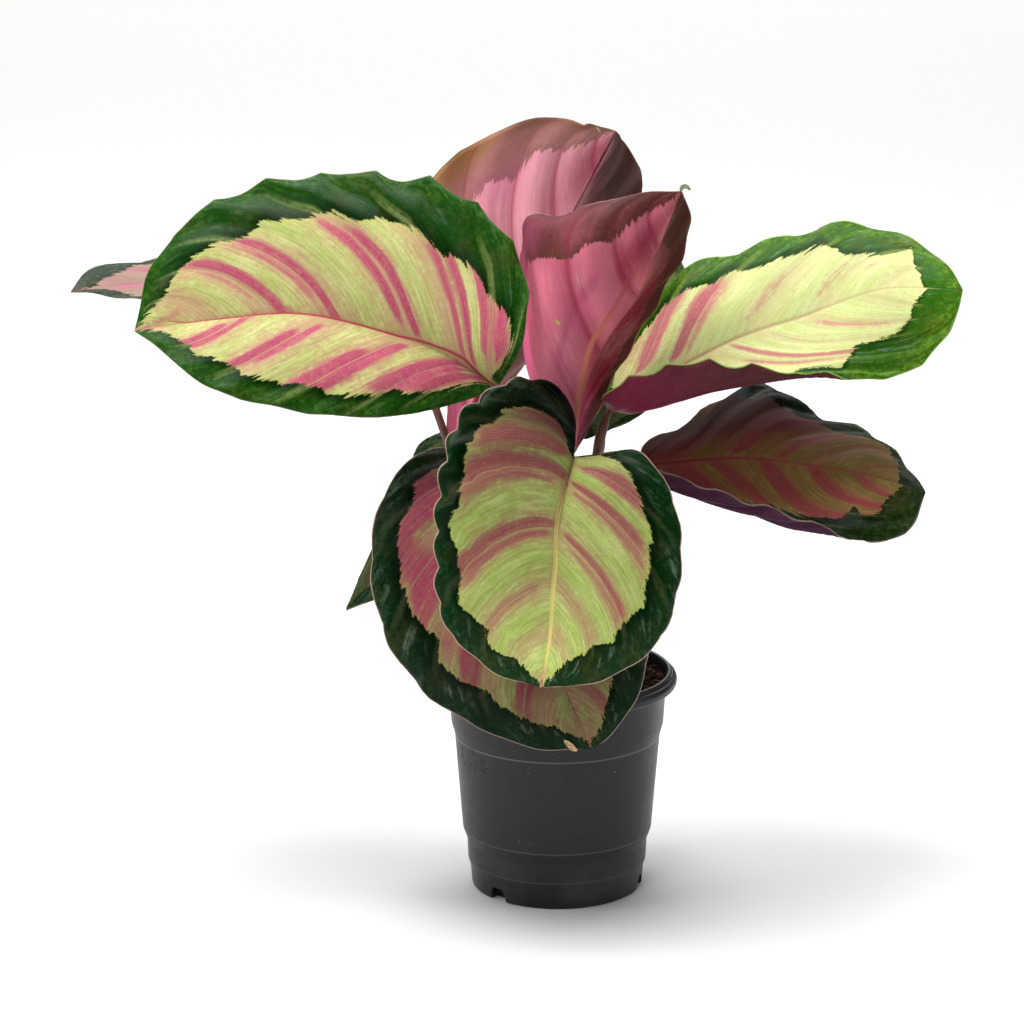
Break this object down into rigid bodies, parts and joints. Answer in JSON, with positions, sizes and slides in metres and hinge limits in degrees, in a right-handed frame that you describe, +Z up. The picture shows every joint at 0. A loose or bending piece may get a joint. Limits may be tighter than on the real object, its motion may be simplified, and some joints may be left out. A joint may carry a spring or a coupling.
{
  "type": "potted rosy calathea",
  "caption": "Potted prayer plant: broad waved leaves with pale and pink patterned tops and rosy undersides on slim stems, in a black round nursery pot filled with peat.",
  "frame": {"origin": "centre of the pot's flat base, on the surface that it stands on", "axes": "+Z up, +X to the plant's right as seen from its front, along the longest spread of the leaves, -Y towards the front"},
  "size_m": [0.441, 0.2303, 0.3813],
  "materials": {
    "pot_plastic": "satin black moulded plastic",
    "soil": "dark damp peat with crumbs and bark bits",
    "leaf_blade": "waxy leaf: pale lime and pink pattern inside a dark green margin, rosy underside",
    "leaf_stem": "red-brown leaf stem, slightly glossy"
  },
  "bodies": {
    "root": {"pot": "pot_plastic", "soil": "soil", "leaf_left_large": "leaf_blade", "stem_left_large": "leaf_stem", "leaf_front": "leaf_blade", "stem_front": "leaf_stem", "leaf_front_low": "leaf_blade", "stem_front_low": "leaf_stem", "leaf_back_tall": "leaf_blade", "stem_back_tall": "leaf_stem", "leaf_centre_furled": "leaf_blade", "stem_centre_furled": "leaf_stem", "leaf_right_high": "leaf_blade", "stem_right_high": "leaf_stem", "leaf_right_low": "leaf_blade", "stem_right_low": "leaf_stem", "leaf_far_left": "leaf_blade", "stem_far_left": "leaf_stem", "leaf_back": "leaf_blade", "stem_back": "leaf_stem", "leaf_back_low": "leaf_blade", "stem_back_low": "leaf_stem"}
  },
  "joints": []
}
